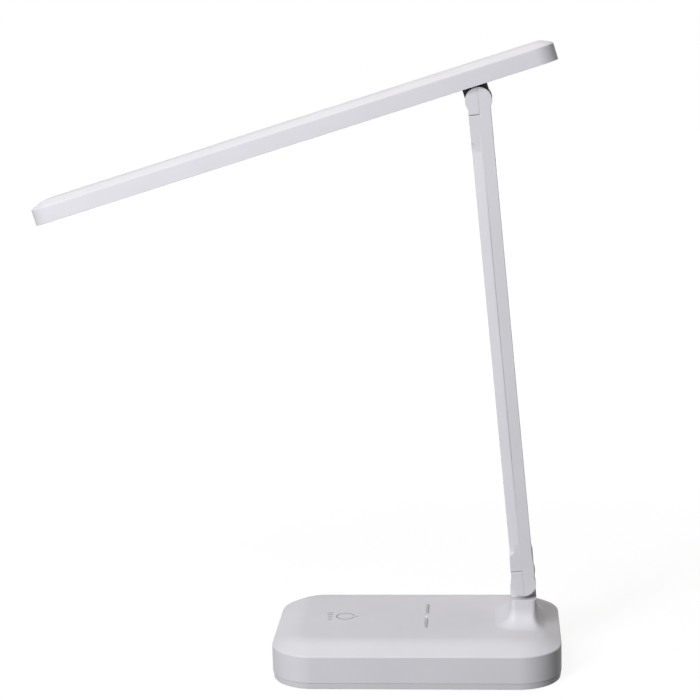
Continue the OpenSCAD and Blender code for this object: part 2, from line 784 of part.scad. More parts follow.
module arm_front_cover() {
    lip_places = [arm_end + lips_in, (arm_l - lip_l) / 2, arm_l - arm_end - lips_in - lip_l];
    root = over / 2;                        // how far the lips' feet reach into the cover
    color(shell_white) on_arm() union() {
        arm_part(-1, fork_gap + seam / 2, arm_l - fork_gap - seam / 2);
        // lips that reach into the back shell
        for (s = [0, 1], z = lip_places) mirror([0, s, 0]) {
            translate([-arm_cav_x - root, arm_cav_y - fit - lip_t, z])
                cube([arm_cav_x + root + lip_reach, lip_t, lip_l]);
            translate([-arm_cav_x - root, arm_cav_y - fit - root, z])
                cube([arm_cav_x + root - 0.1, fit + 2 * root, lip_l]);
        }
    }
}

module lower_ear_caps() {
    color(shell_white) on_arm() arm_part(-1, -neck_w, fork_gap - seam / 2);
}

module upper_ear_caps() {
    color(shell_white) on_arm() arm_part(-1, arm_l - fork_gap + seam / 2, arm_l + neck_w);
}

module arm_stiffener() {
    color(steel) on_arm() difference() {
        translate([arm_cav_x - stiff_t, -stiff_w / 2, arm_end + stiff_in])
            cube([stiff_t, stiff_w, arm_l - 2 * arm_end - 2 * stiff_in]);
        for (z = stiffener_screw_places())
            translate([0, 0, z]) rotate([0, 90, 0]) cylinder(r = plate_screw[2] + fit, h = arm_t);
    }
}

module stiffener_screws() {
    color(steel) on_arm() for (z = stiffener_screw_places())
        translate([arm_cav_x - stiff_t, 0, z]) rotate([0, 90, 0]) screw(stiff_t + 1, plate_screw);
}

lead_x = arm_cav_x - stiff_t - lead_r - 0.1;
lead_y = -5;
arm_route = [[0, 0, lead_r + 0.35], [0, 0, arm_end], [0, -0.2, arm_end + 5],
    [lead_x / 2, lead_y / 2, arm_end + 16], [lead_x, lead_y, arm_end + 28],
    [lead_x, lead_y, arm_l / 2], [lead_x, lead_y, arm_l - arm_end - 28],
    [lead_x / 2, lead_y / 2, arm_l - arm_end - 16], [0, -0.2, arm_l - arm_end - 5],
    [0, 0, arm_l - arm_end], [0, 0, arm_l - lead_r - 0.35]];

module arm_lead() {
    color("#2b2c2f") on_arm() tube(arm_route, lead_r);
}

// ---- head ----

function bracket_screw_places() = [for (x = [-1, 1], y = [-1, 1])
    [x * (flange_l / 2 - flange_screw_in), y * (flange_w / 2 - flange_screw_in)]];

module head_bracket() {
    half = bracket_l / 2;
    color("#26262a") on_head() difference() {
        union() {
            bar_y(half, -tongue_w / 2, tongue_w / 2);
            translate([-half, -tongue_w / 2, 0]) cube([bracket_l, tongue_w, flange_z + over]);
            translate([-flange_l / 2, -flange_w / 2, flange_z]) cube([flange_l, flange_w, flange_t]);
        }
        bar_y(pin_r + pin_play, -tongue_w, tongue_w);
        translate([-bracket_l, -slot_w / 2, -bracket_l])
            cube([2 * bracket_l, slot_w, bracket_l + slot_low]);
        cylinder(r = lead_hole, h = head_top);
        for (p = bracket_screw_places()) translate([p[0], p[1], flange_z - over])
            cylinder(r = flange_screw[2] + fit, h = flange_t + 2 * over);
    }
}

module bracket_screws() {
    color(steel) on_head() for (p = bracket_screw_places())
        translate([p[0], p[1], flange_z]) screw(flange_t + screw_bite, flange_screw);
}

module head_cover() {
    color(shell_white) on_head() difference() {
        union() {
            difference() {
                translate([head_mid, 0, 0]) union() {
                    translate([0, 0, head_drop]) round_block(head_l, head_w, head_r, head_side);
                    translate([0, 0, head_drop + head_side])
                        rim_block(head_l, head_w, head_r, head_rise, head_in);
                }
                translate([head_mid, 0, 0]) union() {
                    translate([0, 0, head_drop - over])
                        round_block(head_l - 2 * head_wall, head_w - 2 * head_wall,
                            head_r - head_wall, head_side - head_wall + over);
                    translate([0, 0, head_drop + head_side - head_wall])
                        rim_block(head_l - 2 * head_wall, head_w - 2 * head_wall,
                            head_r - head_wall, head_rise, head_in);
                }
            }
            // bosses over the bracket's flange
            for (p = bracket_screw_places()) translate([p[0], p[1], flange_z + flange_t])
                cylinder(r = flange_boss_r, h = head_roof - flange_z - flange_t + over / 2);
        }
        for (p = bracket_screw_places()) translate([p[0], p[1], flange_z + flange_t - over])
            cylinder(r = flange_screw[2] + thread, h = screw_bite + over);
    }
}

module head_frame() {
    l = head_l - 2 * head_wall - 2 * fit;
    w = head_w - 2 * head_wall - 2 * fit;
    color(shell_white) on_head() difference() {
        union() {
            translate([head_mid, 0, frame_z]) round_block(l, w, head_r - head_wall - fit, frame_t);
            // snap hooks along both long sides
            for (s = [-1, 1], i = [0 : hooks - 1])
                translate([hook_in - head_far + i * (head_l - 2 * hook_in) / (hooks - 1) - hook[0] / 2,
                    s * (w - hook[1]) / 2 - hook[1] / 2, frame_z + frame_t - over / 2]) cube(hook);
        }
        translate([window_mid, 0, frame_z - over])
            round_block(window_l, window_w, frame_corner, frame_t + 2 * over);
        translate([-bracket_l / 2 - fit, -tongue_w / 2 - fit, frame_z - over])
            cube([bracket_l + 2 * fit, tongue_w + 2 * fit, frame_t + 2 * over]);
    }
}

module diffuser() {
    color("#fafaf7") on_head() {
        translate([window_mid, 0, frame_z])
            round_block(window_l - 2 * fit, window_w - 2 * fit, frame_corner - fit, frame_t);
        translate([window_mid, 0, frame_z + frame_t])
            round_block(window_l + 2 * lip, window_w + 2 * lip, frame_corner + lip, diffuser_rim);
    }
}

module led_board() {
    color(inner_white) on_head() translate([window_mid - led_l / 2, -led_w / 2, head_roof - led_t])
        cube([led_l, led_w, led_t]);
}

module led_chips() {
    color("#f2d675") on_head() for (i = [0 : led_count - 1])
        translate([window_mid - led_l / 2 + (i + 0.5) * led_l / led_count - led_chip[0] / 2,
            -led_chip[1] / 2, head_roof - led_t - led_chip[2]]) cube(led_chip);
}

module reflector() {
    low = frame_z + frame_t + diffuser_rim;
    high = head_roof - led_t;
    sheet = 0.6;
    color(inner_white) on_head() for (s = [0, 1]) mirror([0, s, 0])
        translate([window_mid - led_l / 2, 0, 0]) rotate([90, 0, 90]) linear_extrude(led_l)
            polygon([[led_w / 2, high], [led_w / 2 - sheet, high - sheet],
                [window_w / 2 - sheet, low], [window_w / 2 + sheet, low]]);
}

head_route = [[0, 0, 0], [0, 0, flange_z + flange_t], [-0.6, 0, flange_z + flange_t + 1.2],
    [-3, 0, flange_z + flange_t + 2.6], [-9, 0, head_roof - lead_r - 0.1],
    [window_mid + led_l / 2 + 0.3, 0, head_roof - lead_r - 0.1]];

module head_lead() {
    color("#2b2c2f") on_head() tube(head_route, lead_r);
}

base_housing();
hinge_neck();
bottom_plate();
anti_slip_mat();
bottom_screws();
counterweight();
counterweight_screws();
battery_cell();
battery_pad();
control_board();
board_parts();
board_screws();
touch_electrode();
touch_spring();
indicator_lens();
rest_ribs();
charge_board();
charge_board_screws();
usb_socket();
battery_lead();
charge_lead();
base_lead();
lower_hinge_pins();
lower_washers();
arm_back_shell();
arm_front_cover();
lower_ear_caps();
upper_ear_caps();
arm_stiffener();
stiffener_screws();
arm_lead();
upper_hinge_pins();
upper_washers();
head_bracket();
bracket_screws();
head_cover();
head_frame();
diffuser();
led_board();
led_chips();
reflector();
head_lead();
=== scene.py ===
"""Folding LED desk lamp: finished shells, details, materials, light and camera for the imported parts."""
import json
import math
from contextlib import contextmanager

import bmesh
import bpy
from mathutils import Matrix, Vector


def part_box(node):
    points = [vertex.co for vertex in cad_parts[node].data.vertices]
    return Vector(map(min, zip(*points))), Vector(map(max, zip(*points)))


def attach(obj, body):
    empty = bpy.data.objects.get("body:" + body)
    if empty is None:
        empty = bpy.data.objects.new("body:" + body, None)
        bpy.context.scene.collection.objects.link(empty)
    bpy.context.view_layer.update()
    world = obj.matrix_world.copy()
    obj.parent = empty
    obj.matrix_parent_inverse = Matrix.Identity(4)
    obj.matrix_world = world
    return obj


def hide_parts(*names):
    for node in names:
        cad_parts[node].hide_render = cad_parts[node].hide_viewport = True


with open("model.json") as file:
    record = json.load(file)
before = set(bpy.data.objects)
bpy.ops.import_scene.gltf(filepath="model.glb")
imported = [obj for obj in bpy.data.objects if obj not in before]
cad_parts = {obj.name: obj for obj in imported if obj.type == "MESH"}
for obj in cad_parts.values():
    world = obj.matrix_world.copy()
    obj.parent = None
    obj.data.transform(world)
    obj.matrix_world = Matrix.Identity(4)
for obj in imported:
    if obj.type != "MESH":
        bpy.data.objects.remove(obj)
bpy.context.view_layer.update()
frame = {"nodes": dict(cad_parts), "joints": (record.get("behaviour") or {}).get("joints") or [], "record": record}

MM = 0.001

# ---- sizes and places, from the frame where it states them ----

base_low, base_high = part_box("base_housing")
BASE_L = base_high.x - base_low.x
BASE_W = base_high.y - base_low.y
BASE_R = 27 * MM
SIDE_LOW = base_low.z
SIDE_H = 21.3 * MM
RIM_RISE = 6.1 * MM
RIM_IN = 13.3 * MM
TOP_H = SIDE_H + RIM_RISE
BASE_WALL = 2.2 * MM

LOWER_HINGE = Vector(frame["joints"][0]["pos_m"])
UPPER_HINGE = Vector(frame["joints"][1]["pos_m"])
NECK_T = 16 * MM
NECK_W = 34 * MM
NECK_H = 44 * MM
NECK_EDGE = 3 * MM
NECK_CAP = 3 * MM           # solid plastic above the shaft
SHAFT_WALL = 2.5 * MM
SHAFT_R = 1 * MM
FLARE_R = 11 * MM
TONGUE_W = 19 * MM
TONGUE_R = 7.3 * MM
TONGUE_SINK = 0.6 * MM      # how far the tongue reaches into the neck
PIN_BORE_R = 2.55 * MM
LEAD_SLOT_W = 4 * MM
LEAD_SLOT_LOW = 1.3 * MM
LEAD_HOLE_R = 1.5 * MM

ARM_L = (UPPER_HINGE - LOWER_HINGE).length
ARM_HALF = 6.75 * MM
EAR_SEAM = 8.3 * MM
ARM_EDGE = 0.4 * MM
ARM_CORNER = 0.9 * MM
SEAM_W = 1.3 * MM
SEAM_DEEP = 0.7 * MM
PARTING_W = 0.7 * MM
PARTING_DEEP = 0.4 * MM
ARM_FRAME = Matrix.Translation(LOWER_HINGE) @ Matrix.Rotation(
    math.atan2(UPPER_HINGE.x - LOWER_HINGE.x, UPPER_HINGE.z - LOWER_HINGE.z), 4, "Y")

HEAD_TILT = math.radians(16.5)
HEAD_FRAME = Matrix.Translation(UPPER_HINGE) @ Matrix.Rotation(-HEAD_TILT, 4, "Y")
HEAD_FAR = 281.6 * MM
HEAD_NEAR = 52.1 * MM
HEAD_W = 40 * MM
HEAD_R = 12 * MM
HEAD_DROP = 8.9 * MM
HEAD_SIDE = 10.1 * MM
HEAD_RISE = 3.2 * MM
HEAD_IN = 7 * MM
HEAD_WALL = 1.6 * MM

KEY_X = -46.3 * MM
RIB_X = 5.5 * MM
RIB_NEAR = 5.5 * MM         # how near the ribs come to the middle
RIB_SOFT = 0.45 * MM        # radius on the ribs and the lens
LENS_R = 1 * MM
INK_T = 0.04 * MM
INK_SINK = 0.01 * MM        # how far the ink reaches into the plastic
SLIVER = 0.02 * MM          # keeps a round end just short of a full half circle
LEVEL = 0.01 * MM           # how near a point lies to a height to count as on it
PICK = 0.05 * MM            # how near an edge lies to an outline to count as on it


# ---- modelling helpers ----

def deselect():
    bpy.ops.object.select_all(action="DESELECT")


def activate(piece):
    """Makes one piece the active one, with nothing else selected."""
    deselect()
    piece.select_set(True)
    bpy.context.view_layer.objects.active = piece


@contextmanager
def editing(piece):
    """Edit mode on one piece, with everything selected at the start."""
    activate(piece)
    bpy.ops.object.mode_set(mode="EDIT")
    bpy.ops.mesh.select_all(action="SELECT")
    yield piece
    bpy.ops.object.mode_set(mode="OBJECT")


def pick(piece, kind, test):
    """In edit mode, selects just the vertices, edges or faces that pass the test."""
    bpy.ops.mesh.select_mode(type=kind)
    bpy.ops.mesh.select_all(action="DESELECT")
    shape = bmesh.from_edit_mesh(piece.data)
    found = {"VERT": shape.verts, "EDGE": shape.edges, "FACE": shape.faces}[kind]
    for item in [item for item in found if test(item)]:
        item.select_set(True)
    bmesh.update_edit_mesh(piece.data)


def level_edges(z):
    """A test for edges that lie at one height."""
    return lambda edge: all(abs(v.co.z - z) < LEVEL for v in edge.verts)


def level_corners(z):
    """A test for edges at one height where two faces meet at a steep angle."""
    steep = math.radians(60)
    return lambda edge: level_edges(z)(edge) and edge.calc_face_angle(0) > steep


def soften(piece, test, radius, steps):
    """Rounds the edges that pass the test."""
    pick(piece, "EDGE", test)
    bpy.ops.mesh.bevel(offset=radius, segments=steps, profile=0.5, affect="EDGES", clamp_overlap=True)


def raise_faces(height):
    """Extrudes the selected faces straight up, or down where the height is negative."""
    bpy.ops.mesh.extrude_region_move(TRANSFORM_OT_translate={"value": (0, 0, height)})


def turn_outward():
    """Points all faces of the closed shape outwards."""
    bpy.ops.mesh.select_all(action="SELECT")
    bpy.ops.mesh.normals_make_consistent(inside=False)


def thicken(height):
    """Raises the selected sheet into a closed solid."""
    raise_faces(height)
    turn_outward()


def round_sheet(name, length, width, radius, z, steps=16, middle=(0, 0)):
    """A flat rectangle with round corners, to be raised into a block."""
    deselect()
    bpy.ops.mesh.primitive_plane_add(size=1, location=(middle[0], middle[1], z))
    piece = bpy.context.object
    piece.name = name
    piece.scale = (length, width, 1)
    bpy.ops.object.transform_apply(location=True, rotation=True, scale=True)
    with editing(piece):
        bpy.ops.mesh.bevel(offset=radius, segments=steps, profile=0.5, affect="VERTICES")
    return piece


def rim_block(name, length, width, radius, low, side, rise, run, steps=16, middle=(0, 0)):
    """A round-cornered block with upright sides and a sloping rim round its top."""
    piece = round_sheet(name, length, width, radius, low, steps, middle)
    with editing(piece):
        raise_faces(side - low)
        bpy.ops.mesh.inset(thickness=run, depth=rise)
        turn_outward()
    return piece


def bar(name, low, high):
    """A plain box between two corners, used as a cutter or as the start of a piece."""
    deselect()
    bpy.ops.mesh.primitive_cube_add(size=1, location=(Vector(low) + Vector(high)) / 2)
    piece = bpy.context.object
    piece.name = name
    piece.scale = Vector(high) - Vector(low)
    bpy.ops.object.transform_apply(location=True, rotation=True, scale=True)
    return piece


def rod(name, radius, start, end, sides=48):
    """A round bar from one point to another."""
    deselect()
    way = Vector(end) - Vector(start)
    bpy.ops.mesh.primitive_cylinder_add(vertices=sides, radius=radius, depth=way.length,
        location=(Vector(start) + Vector(end)) / 2, rotation=way.to_track_quat("Z", "Y").to_euler())
    piece = bpy.context.object
    piece.name = name
    bpy.ops.object.transform_apply(location=True, rotation=True, scale=True)
    return piece


def combine(piece, other, operation):
    """Joins or cuts a piece with another shape, which is used up."""
    activate(piece)
    change = piece.modifiers.new("combine", "BOOLEAN")
    change.operation = operation
    change.solver = "EXACT"
    change.object = other
    bpy.ops.object.modifier_apply(modifier=change.name)
    bpy.data.objects.remove(other)


def place(piece, matrix):
    """Carries a shape's mesh by a matrix, while its object stays at the origin."""
    piece.data.transform(matrix)
    piece.data.update()


def copy_node(node, name):
    """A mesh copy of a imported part, its loose triangles merged into whole faces."""
    piece = bpy.data.objects.new(name, frame["nodes"][node].data.copy())
    bpy.context.scene.collection.objects.link(piece)
    piece.data.materials.clear()
    with editing(piece):
        bpy.ops.mesh.customdata_custom_splitnormals_clear()
        bpy.ops.mesh.remove_doubles(threshold=0.002 * MM)
        bpy.ops.mesh.dissolve_limited(angle_limit=math.radians(0.4))
    return piece


def ease_edges(piece, radius, steps, angle):
    """A small moulded radius on every edge sharper than the angle."""
    activate(piece)
    change = piece.modifiers.new("radius", "BEVEL")
    change.width = radius
    change.segments = steps
    change.limit_method = "ANGLE"
    change.angle_limit = math.radians(angle)
    change.use_clamp_overlap = True
    bpy.ops.object.modifier_apply(modifier=change.name)


def even_shading(piece):
    """Smooth shading that keeps flat faces flat."""
    activate(piece)
    bpy.ops.object.shade_smooth_by_angle(angle=math.radians(32))
    change = piece.modifiers.new("even", "WEIGHTED_NORMAL")
    change.keep_sharp = True
    change.weight = 100
    bpy.ops.object.modifier_apply(modifier=change.name)


def install(piece, body, slot, *replaced, finish=None):
    """Shades a finished piece, gives it its material and lets it ride on its body."""
    even_shading(piece)
    piece.data.materials.clear()
    piece.data.materials.append(MATERIALS[finish or slot])
    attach(piece, body)
    if replaced:
        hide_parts(*replaced)
    return piece


# ---- materials ----

def linear(code):
    """An sRGB hex colour as linear red, green, blue and alpha."""
    parts = [int(code[i:i + 2], 16) / 255 for i in (1, 3, 5)]
    return [c / 12.92 if c <= 0.04045 else ((c + 0.055) / 1.055) ** 2.4 for c in parts] + [1.0]


def node_in(tree, kind, settings=None, **links):
    """Adds a node. Settings are its own, and each link is a value or another node's socket,
    given by the name of the input, or by its number as _0, _1 and so on."""
    made = tree.nodes.new(kind)
    for name, value in (settings or {}).items():
        setattr(made, name, value)
    for name, value in links.items():
        socket = made.inputs[int(name[1:])] if name[0] == "_" else made.inputs[name.replace("_", " ")]
        if isinstance(value, bpy.types.NodeSocket):
            tree.links.new(value, socket)
        else:
            socket.default_value = value
    return made


def new_material(name):
    """A new material with its node tree, its shader and the place on the object."""
    material = bpy.data.materials.new(name)
    material.use_nodes = True
    tree = material.node_tree
    shader = tree.nodes["Principled BSDF"]
    place_of = tree.nodes.new("ShaderNodeTexCoord").outputs["Object"]
    return material, tree, shader, place_of


def grain(tree, place_of, size, depth):
    """A bump of fine round grains of one real size and depth, in metres."""
    noise = node_in(tree, "ShaderNodeTexNoise", Vector=place_of, Scale=1 / size, Detail=2.0,
        Roughness=0.55)
    return node_in(tree, "ShaderNodeBump", Height=noise.outputs["Fac"], Strength=1.0, Distance=depth)


def two_tone(tree, factor, low, high, start=0.0, end=1.0):
    """A blend of two colours as the factor goes from start to end."""
    ramp = node_in(tree, "ShaderNodeValToRGB", Fac=factor)
    for stop, at, code in zip(ramp.color_ramp.elements, (start, end), (low, high)):
        stop.position = at
        stop.color = linear(code)
    return ramp.outputs["Color"]


def mottle(tree, place_of, size, low, high):
    """A soft drift between two colours over patches of one real size."""
    noise = node_in(tree, "ShaderNodeTexNoise", Vector=place_of, Scale=1 / size, Detail=3.0)
    return two_tone(tree, noise.outputs["Fac"], low, high, 0.3, 0.7)


def gloss_drift(tree, place_of, size, low, high):
    """Roughness that wanders between two values over patches of one real size."""
    noise = node_in(tree, "ShaderNodeTexNoise", Vector=place_of, Scale=1 / size, Detail=2.0)
    spread = node_in(tree, "ShaderNodeMapRange", Value=noise.outputs["Fac"], To_Min=low, To_Max=high)
    return spread.outputs["Result"]


def finished(name, low, high, drift, rough, grain_size, grain_depth, ior=1.5, specular=0.5):
    """The common build of a finish: drifting colour, wandering gloss and a fine grain."""
    material, tree, shader, place_of = new_material(name)
    shader.inputs["IOR"].default_value = ior
    shader.inputs["Specular IOR Level"].default_value = specular
    tree.links.new(mottle(tree, place_of, drift, low, high), shader.inputs["Base Color"])
    tree.links.new(gloss_drift(tree, place_of, drift / 3, rough[0], rough[1]), shader.inputs["Roughness"])
    bump = grain(tree, place_of, grain_size, grain_depth)
    tree.links.new(bump.outputs["Normal"], shader.inputs["Normal"])
    return material


# Matt white ABS from a spark-eroded mould: an even, slightly cool white with a dry, fine grain.
# The real grain is about 0.1 mm; it is drawn at 0.35 mm so that it shows.
def white_abs():
    return finished("moulded_white_abs", "#dad9de", "#dddce1", 30 * MM, (0.46, 0.54),
        0.35 * MM, 0.012 * MM, ior=1.53, specular=0.35)


# Black acetal, as moulded: near black with a dull sheen that shows its edges.
def black_pom():
    return finished("moulded_black_acetal", "#1f1f22", "#29292d", 6 * MM, (0.38, 0.5),
        0.3 * MM, 0.015 * MM, ior=1.48)


# Milky polycarbonate with light scattered inside: soft, faintly warm and smoother than the shells.
def diffuser_pc():
    material = finished("milky_polycarbonate", "#eceae4", "#f1efea", 40 * MM, (0.3, 0.36),
        0.5 * MM, 0.006 * MM, ior=1.58)
    shader = material.node_tree.nodes["Principled BSDF"]
    shader.inputs["Subsurface Weight"].default_value = 0.25
    shader.inputs["Subsurface Scale"].default_value = 3 * MM
    shader.inputs["Subsurface Radius"].default_value = (1.0, 0.95, 0.9)
    return material


# Clear moulded light guide, which the eye takes for a small bright polished dot.
def lens_clear():
    return finished("clear_light_guide", "#f4f6fa", "#fbfcfe", 1 * MM, (0.1, 0.16),
        0.3 * MM, 0.002 * MM, ior=1.49)


# Soft grey elastomer: flat and dry, a shade darker than the housing. Part of that grey is painted shade, standing
# in for the shadow on the ribs' far flanks.
def rib_soft():
    return finished("grey_elastomer_painted_shade", "#bdbdc1", "#c3c3c7", 3 * MM, (0.6, 0.72), 0.25 * MM, 0.01 * MM)


# Grey printing ink, as thin as paint, a little shinier than the plastic under it.
def print_ink():
    return finished("grey_pad_print", "#7c7d7f", "#868789", 2 * MM, (0.4, 0.5), 0.2 * MM, 0.003 * MM)


# Silicone sheet moulded with fine slanting ridges, and dust that lightens it in patches.
def mat_silicone():
    ridge_step = 3.2 * MM       # from ridge to ridge along X
    material, tree, shader, place_of = new_material("grey_silicone_sheet")
    tree.links.new(mottle(tree, place_of, 9 * MM, "#525457", "#606265"), shader.inputs["Base Color"])
    shader.inputs["Roughness"].default_value = 0.72
    shader.inputs["IOR"].default_value = 1.41
    # ten radians of wave to a metre along X at a scale of one
    ridges = node_in(tree, "ShaderNodeTexWave", {"wave_type": "BANDS", "bands_direction": "DIAGONAL"},
        Vector=place_of, Scale=2 * math.pi / (10 * ridge_step), Distortion=0.0)
    bump = node_in(tree, "ShaderNodeBump", Height=ridges.outputs["Fac"], Strength=0.6, Distance=0.08 * MM)
    tree.links.new(bump.outputs["Normal"], shader.inputs["Normal"])
    return material


# Foam rubber: black, full of small open cells, each hollow darkened with painted shade.
def foam():
    material, tree, shader, place_of = new_material("black_foam_rubber")
    cells = node_in(tree, "ShaderNodeTexVoronoi", Vector=place_of, Scale=1 / (0.9 * MM))
    # darker towards each cell's hollow, where the bump is lowest: painted shade
    shade = two_tone(tree, cells.outputs["Distance"], "#222224", "#3b3b3e")
    tree.links.new(shade, shader.inputs["Base Color"])
    bump = node_in(tree, "ShaderNodeBump", Height=cells.outputs["Distance"], Strength=0.8,
        Distance=0.3 * MM)
    tree.links.new(bump.outputs["Normal"], shader.inputs["Normal"])
    shader.inputs["Roughness"].default_value = 0.9
    return material


def brushed(name, low, high, rough, direction_scale):
    """A metal with fine lines along the axis whose scale is the smallest."""
    material, tree, shader, place_of = new_material(name)
    shader.inputs["Metallic"].default_value = 1.0
    stretched = node_in(tree, "ShaderNodeMapping", Vector=place_of, Scale=direction_scale)
    lines = node_in(tree, "ShaderNodeTexNoise", Vector=stretched.outputs["Vector"], Scale=1 / (0.2 * MM),
        Detail=3.0)
    tint = two_tone(tree, lines.outputs["Fac"], low, high)
    tree.links.new(tint, shader.inputs["Base Color"])
    gloss = node_in(tree, "ShaderNodeMapRange", Value=lines.outputs["Fac"], To_Min=rough[0], To_Max=rough[1])
    tree.links.new(gloss.outputs["Result"], shader.inputs["Roughness"])
    bump = node_in(tree, "ShaderNodeBump", Height=lines.outputs["Fac"], Strength=0.5, Distance=0.005 * MM)
    tree.links.new(bump.outputs["Normal"], shader.inputs["Normal"])
    return material


# Sheet steel under a thin zinc primer: dull blue grey with rolling lines.
def weight_steel():
    return brushed("zinc_primed_sheet_steel", "#6b7076", "#7f858b", (0.45, 0.6), (0.08, 1.0, 1.0))


# Nickel plated screws and sockets: bright, with faint upright lines.
def screw_steel():
    return brushed("nickel_plated_steel", "#b4b3ae", "#cbcac6", (0.18, 0.3), (1.0, 1.0, 0.2))


# Ground steel pins: bright, with fine lines along the pin.
def pin_steel():
    return brushed("ground_steel", "#a3a5a8", "#bdbfc2", (0.22, 0.34), (1.0, 0.1, 1.0))


# Brass washers: warm yellow metal, lightly dulled, with short rolling lines.
def washer_brass():
    return brushed("rolled_brass", "#b28f4c", "#c9a763", (0.3, 0.42), (1.0, 0.3, 1.0))


# Copper foil: pinkish metal with faint rolling lines.
def copper():
    return brushed("copper_foil", "#b87650", "#c98a63", (0.28, 0.4), (0.3, 1.0, 1.0))


# Shrink sleeve over a cell: smooth blue film with small ripples.
def cell_wrap():
    return finished("blue_shrink_sleeve", "#1f5f9e", "#2468a8", 12 * MM, (0.2, 0.3), 2.5 * MM, 0.02 * MM)


# Solder mask over glass epoxy: deep green, glossy, with the weave just felt through it.
def board_green():
    return finished("green_solder_mask", "#17462a", "#1e5533", 5 * MM, (0.22, 0.34), 0.5 * MM, 0.008 * MM)


# White solder mask on the light strip.
def board_white():
    return finished("white_solder_mask", "#e6e6e1", "#efefea", 8 * MM, (0.25, 0.35), 0.5 * MM, 0.006 * MM)


# Moulded epoxy packages: dark grey and dull.
def chip_black():
    return finished("moulded_epoxy", "#202123", "#2b2c2f", 2 * MM, (0.5, 0.62), 0.15 * MM, 0.01 * MM)


# Yellow phosphor in clear gel: warm yellow with a wet gloss.
def led_phosphor():
    return finished("phosphor_gel", "#e2bf4e", "#ecd06c", 1.5 * MM, (0.15, 0.25), 0.1 * MM, 0.004 * MM)


# White reflecting film: very bright and nearly matt.
def reflector_white():
    return finished("white_reflecting_film", "#f0f0ee", "#f6f6f4", 20 * MM, (0.4, 0.5), 0.4 * MM, 0.004 * MM)


# PVC insulation, extruded: smooth with a slight waxy gloss.
def wire_black():
    return finished("black_pvc", "#1d1d1f", "#28282b", 4 * MM, (0.35, 0.45), 0.5 * MM, 0.01 * MM)


# The same insulation in red, a little brighter than the black one.
def wire_red():
    return finished("red_pvc", "#9c1d20", "#ad2427", 4 * MM, (0.35, 0.45), 0.5 * MM, 0.01 * MM)


MATERIALS = {
    "white_abs": white_abs(), "black_pom": black_pom(), "diffuser_pc": diffuser_pc(),
    "lens_clear": lens_clear(), "rib_soft": rib_soft(), "mat_silicone": mat_silicone(), "foam": foam(),
    "weight_steel": weight_steel(), "screw_steel": screw_steel(), "pin_steel": pin_steel(),
    "washer_brass": washer_brass(), "copper": copper(), "cell_wrap": cell_wrap(),
    "board_green": board_green(), "board_white": board_white(), "chip_black": chip_black(),
    "led_phosphor": led_phosphor(), "reflector_white": reflector_white(), "wire_black": wire_black(),
    "wire_red": wire_red(), "print": print_ink(),
}


def finish_packed_parts():
    """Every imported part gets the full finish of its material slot."""
    for part in frame["record"]["subparts"]:
        node = frame["nodes"][part["node"]]
        node.data.materials.clear()
        node.data.materials.append(MATERIALS[part["material_slot"]])


# ---- base ----

RIM_SLOPE = math.atan2(RIM_RISE, RIM_IN)
TOP_SOFT = 5 * MM           # how far the soft top crease reaches along each face
RIM_SOFT = 0.7 * MM
FOOT_SOFT = 0.3 * MM
NECK_SOFT = 0.5 * MM
FLARE_RINGS = 14
FLARE_SINK = 1.2 * MM       # how far the flare's foot reaches into the base


def base_inset(x, y):
    """How far a point lies inside the base's outline, and the way out to it."""
    over_x = abs(x) - (BASE_L / 2 - BASE_R)
    over_y = abs(y) - (BASE_W / 2 - BASE_R)
    if over_x > 0 and over_y > 0:
        inset, way = BASE_R - math.hypot(over_x, over_y), Vector((over_x, over_y)).normalized()
    else:
        inset, way = BASE_R - max(over_x, over_y), Vector((1, 0) if over_x > over_y else (0, 1))
    return inset, Vector((math.copysign(way.x, x), math.copysign(way.y, y)))


def top_height(x, y):
    """Height of the base's upper surface, its soft crease included."""
    inset = base_inset(x, y)[0]
    start = RIM_IN - TOP_SOFT * math.cos(RIM_SLOPE)
    end = RIM_IN + TOP_SOFT
    if inset >= end:
        return TOP_H
    if inset <= start:
        return SIDE_H + inset * RIM_RISE / RIM_IN
    bend = TOP_SOFT / math.tan(RIM_SLOPE / 2)
    return TOP_H - bend + math.sqrt(bend ** 2 - (end - inset) ** 2)


def corner_and_way(point):
    """The neck's corner centre nearest a point of its outline, and the way out from there."""
    inner_x, inner_y = NECK_T / 2 - NECK_EDGE, NECK_W / 2 - NECK_EDGE
    x = point.x - LOWER_HINGE.x
    centre = Vector((max(-inner_x, min(inner_x, x)), max(-inner_y, min(inner_y, point.y))))
    way = Vector((x, point.y)) - centre
    return Vector((centre.x + LOWER_HINGE.x, centre.y)), way.normalized()


def flare_foot(centre, way):
    """Height of the flare's arc centre, and the angle at which the arc meets the base."""
    best, degrees = (-1.0, 0.0), 0.75
    for i in range(1, round(90 / degrees) + 1):
        angle = math.radians(i * degrees)
        out = FLARE_R * (1 - math.cos(angle))
        at = centre + way * (NECK_EDGE + out)
        best = max(best, (top_height(at.x, at.y) + FLARE_R * math.sin(angle), angle))
    return best


def on_flare(point, ring):
    """Where a point of the neck's outline lies on one ring of the flare, the last one in the base."""
    centre, way = corner_and_way(point)
    height, full = flare_foot(centre, way)
    angle = full * min(ring, FLARE_RINGS) / FLARE_RINGS
    at = centre + way * (NECK_EDGE + FLARE_R * (1 - math.cos(angle)))
    sink = FLARE_SINK if ring > FLARE_RINGS else 0
    return Vector((at.x, at.y, height - FLARE_R * math.sin(angle) - sink))


